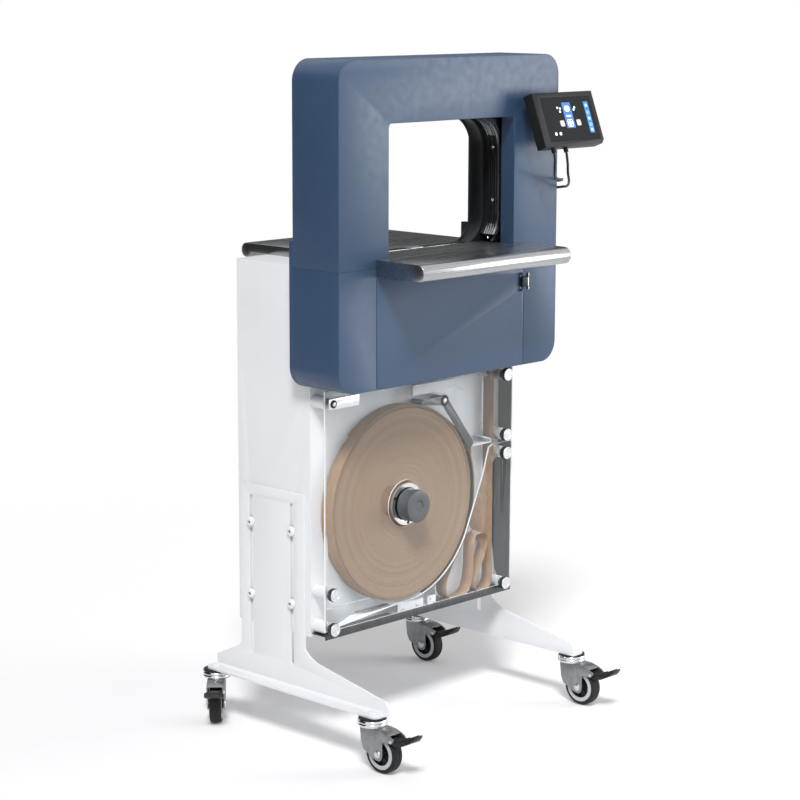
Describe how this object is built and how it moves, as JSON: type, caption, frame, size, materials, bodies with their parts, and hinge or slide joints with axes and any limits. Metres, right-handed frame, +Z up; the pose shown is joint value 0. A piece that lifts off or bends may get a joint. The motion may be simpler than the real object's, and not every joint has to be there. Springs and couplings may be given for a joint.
{
  "type": "band strapping machine",
  "caption": "Free-standing band strapping machine: arch over a steel table, lower housing with door, column, band reel and pool behind clear covers, touch panel, castered feet.",
  "frame": {"origin": "centre of the footprint's bounding box, on the floor under the casters", "axes": "+X to the operator's right, +Y from the front to the back, +Z up"},
  "size_m": [0.731, 0.575, 1.286],
  "materials": {
    "blue_paint": "satin",
    "white_paint": "satin",
    "dark_paint": "satin",
    "brushed_steel": "brushed",
    "zinc": "satin",
    "aluminium": "satin",
    "black_plastic": "matte",
    "grey_plastic": "matte",
    "kraft_band": "matte",
    "clear_cover": "polished",
    "screen_glass": "gloss",
    "wheel": "matte",
    "cord": "matte"
  },
  "bodies": {
    "machine": {"column_shell": "white_paint", "column_back_cover": "white_paint", "arch_front_cover": "blue_paint", "arch_rear_cover": "blue_paint", "lower_housing": "blue_paint", "lower_back_plate": "blue_paint", "machine_frame": "dark_paint", "front_table": "brushed_steel", "rear_table": "brushed_steel", "band_guide": "black_plastic", "guide_strips": "aluminium", "guide_corner_plates": "dark_paint", "guide_screws": "zinc", "head_plates": "brushed_steel", "door_hardware": "zinc", "feed_motor": "dark_paint", "control_box": "grey_plastic", "reel_shaft": "zinc", "pool_wall": "brushed_steel", "pool_tray": "dark_paint", "band_brackets": "white_paint", "pool_cover": "clear_cover", "pool_cover_knobs": "aluminium", "cover_standoffs": "white_paint", "foot_bolts": "white_paint", "panel_bracket": "dark_paint", "cable_glands": "black_plastic", "panel_leads": "cord", "band_web": "kraft_band", "power_inlet": "black_plastic"},
    "power_switch": {"power_switch": "grey_plastic"},
    "left_foot": {"left_foot": "white_paint"},
    "right_foot": {"right_foot": "white_paint"},
    "front_left_fork": {"front_left_fork": "zinc"},
    "front_left_wheel": {"front_left_wheel": "wheel"},
    "front_left_pedal": {"front_left_pedal": "black_plastic"},
    "front_right_fork": {"front_right_fork": "zinc"},
    "front_right_wheel": {"front_right_wheel": "wheel"},
    "front_right_pedal": {"front_right_pedal": "black_plastic"},
    "rear_left_fork": {"rear_left_fork": "zinc"},
    "rear_left_wheel": {"rear_left_wheel": "wheel"},
    "rear_left_pedal": {"rear_left_pedal": "black_plastic"},
    "rear_right_fork": {"rear_right_fork": "zinc"},
    "rear_right_wheel": {"rear_right_wheel": "wheel"},
    "rear_right_pedal": {"rear_right_pedal": "black_plastic"},
    "front_door": {"front_door": "blue_paint"},
    "door_latch": {"door_latch": "black_plastic"},
    "reel": {"reel_hub": "zinc", "band_roll": "kraft_band"},
    "lock_knob": {"lock_knob": "grey_plastic"},
    "upper_cover": {"reel_cover": "clear_cover", "reel_cover_knobs": "aluminium"},
    "cover_latch": {"cover_latch": "aluminium"},
    "brake_lever": {"brake_lever": "dark_paint"},
    "drive_roller": {"drive_roller": "grey_plastic"},
    "pressure_roller": {"pressure_roller": "zinc"},
    "seal_cam": {"seal_cam": "zinc"},
    "sealing_horn": {"sealing_horn": "zinc"},
    "touch_panel": {"touch_panel": "black_plastic", "panel_screen": "screen_glass"}
  },
  "joints": [
    {"name": "left_foot_height", "type": "slide", "parent": "machine", "child": "left_foot", "axis": [0, 0, 1], "range_m": [-0.045, 0.1]},
    {"name": "right_foot_height", "type": "slide", "parent": "machine", "child": "right_foot", "axis": [0, 0, 1], "range_m": [-0.045, 0.1]},
    {"name": "front_left_swivel", "type": "hinge", "parent": "left_foot", "child": "front_left_fork", "pos_m": [-0.2757, -0.1705, 0.09], "axis": [0, 0, 1], "continuous": true},
    {"name": "front_left_roll", "type": "hinge", "parent": "front_left_fork", "child": "front_left_wheel", "pos_m": [-0.2757, -0.2005, 0.0375], "axis": [1, 0, 0], "continuous": true},
    {"name": "front_left_brake", "type": "hinge", "parent": "front_left_fork", "child": "front_left_pedal", "pos_m": [-0.2757, -0.2325, 0.069], "axis": [1, 0, 0], "range_deg": [0, 12]},
    {"name": "front_right_swivel", "type": "hinge", "parent": "right_foot", "child": "front_right_fork", "pos_m": [0.2927, -0.1705, 0.09], "axis": [0, 0, 1], "continuous": true},
    {"name": "front_right_roll", "type": "hinge", "parent": "front_right_fork", "child": "front_right_wheel", "pos_m": [0.2927, -0.2005, 0.0375], "axis": [1, 0, 0], "continuous": true},
    {"name": "front_right_brake", "type": "hinge", "parent": "front_right_fork", "child": "front_right_pedal", "pos_m": [0.2927, -0.2325, 0.069], "axis": [1, 0, 0], "range_deg": [0, 12]},
    {"name": "rear_left_swivel", "type": "hinge", "parent": "left_foot", "child": "rear_left_fork", "pos_m": [-0.2757, 0.2575, 0.09], "axis": [0, 0, 1], "continuous": true},
    {"name": "rear_left_roll", "type": "hinge", "parent": "rear_left_fork", "child": "rear_left_wheel", "pos_m": [-0.29691, 0.23629, 0.0375], "axis": [0.7071, -0.7071, 0], "continuous": true},
    {"name": "rear_left_brake", "type": "hinge", "parent": "rear_left_fork", "child": "rear_left_pedal", "pos_m": [-0.31954, 0.21366, 0.069], "axis": [0.7071, -0.7071, 0], "range_deg": [0, 12]},
    {"name": "rear_right_swivel", "type": "hinge", "parent": "right_foot", "child": "rear_right_fork", "pos_m": [0.2927, 0.2575, 0.09], "axis": [0, 0, 1], "continuous": true},
    {"name": "rear_right_roll", "type": "hinge", "parent": "rear_right_fork", "child": "rear_right_wheel", "pos_m": [0.2927, 0.2275, 0.0375], "axis": [1, 0, 0], "continuous": true},
    {"name": "rear_right_brake", "type": "hinge", "parent": "rear_right_fork", "child": "rear_right_pedal", "pos_m": [0.2927, 0.1955, 0.069], "axis": [1, 0, 0], "range_deg": [0, 12]},
    {"name": "door_hinge", "type": "hinge", "parent": "machine", "child": "front_door", "pos_m": [-0.19275, -0.0985, 0.79], "axis": [0, 0, -1], "range_deg": [0, 110]},
    {"name": "latch_hinge", "type": "hinge", "parent": "front_door", "child": "door_latch", "pos_m": [0.203, -0.105, 0.85], "axis": [0, 0, -1], "range_deg": [0, 60]},
    {"name": "reel_spin", "type": "hinge", "parent": "machine", "child": "reel", "pos_m": [-0.0375, -0.0035, 0.436], "axis": [0, 1, 0], "continuous": true},
    {"name": "lock_knob_turn", "type": "hinge", "parent": "machine", "child": "lock_knob", "pos_m": [-0.0375, -0.0455, 0.436], "axis": [0, 1, 0], "continuous": true},
    {"name": "cover_removal", "type": "slide", "parent": "machine", "child": "upper_cover", "axis": [0, -1, 0], "range_m": [0, 0.12]},
    {"name": "cover_latch_turn", "type": "hinge", "parent": "upper_cover", "child": "cover_latch", "pos_m": [-0.2415, -0.0305, 0.658], "axis": [0, 1, 0], "range_deg": [0, 90]},
    {"name": "brake_lever_pivot", "type": "hinge", "parent": "machine", "child": "brake_lever", "pos_m": [0.0745, -0.0035, 0.622], "axis": [0, 1, 0], "range_deg": [0, 5], "stiffness_Nm_per_rad": 2, "springref_deg": -8.59},
    {"name": "drive_roller_spin", "type": "hinge", "parent": "machine", "child": "drive_roller", "pos_m": [0.2048, -0.0035, 0.8], "axis": [0, 1, 0], "continuous": true},
    {"name": "pressure_roller_spin", "type": "hinge", "parent": "machine", "child": "pressure_roller", "pos_m": [0.2332, -0.0035, 0.8], "axis": [0, 1, 0], "continuous": true},
    {"name": "seal_cam_turn", "type": "hinge", "parent": "machine", "child": "seal_cam", "pos_m": [0.0025, -0.0035, 0.854], "axis": [0, 1, 0], "range_deg": [0, 180]},
    {"name": "sealing_stroke", "type": "slide", "parent": "machine", "child": "sealing_horn", "axis": [0, 0, 1], "range_m": [0, 0.008]},
    {"name": "panel_tilt", "type": "hinge", "parent": "machine", "child": "touch_panel", "pos_m": [0.3085, -0.1235, 1.153], "axis": [-1, 0, 0], "range_deg": [-25, 10], "deforming": ["panel_leads"]},
    {"name": "power_rocker", "type": "hinge", "parent": "machine", "child": "power_switch", "pos_m": [0.0275, 0.2105, 0.265], "axis": [1, 0, 0], "range_deg": [0, 14]}
  ],
  "couplings": [
    {"joint": "pressure_roller_spin", "follows": "drive_roller_spin", "ratio": -1.25},
    {"joint": "seal_cam_turn", "follows": "sealing_stroke", "rad_per_m": 392.6}
  ]
}
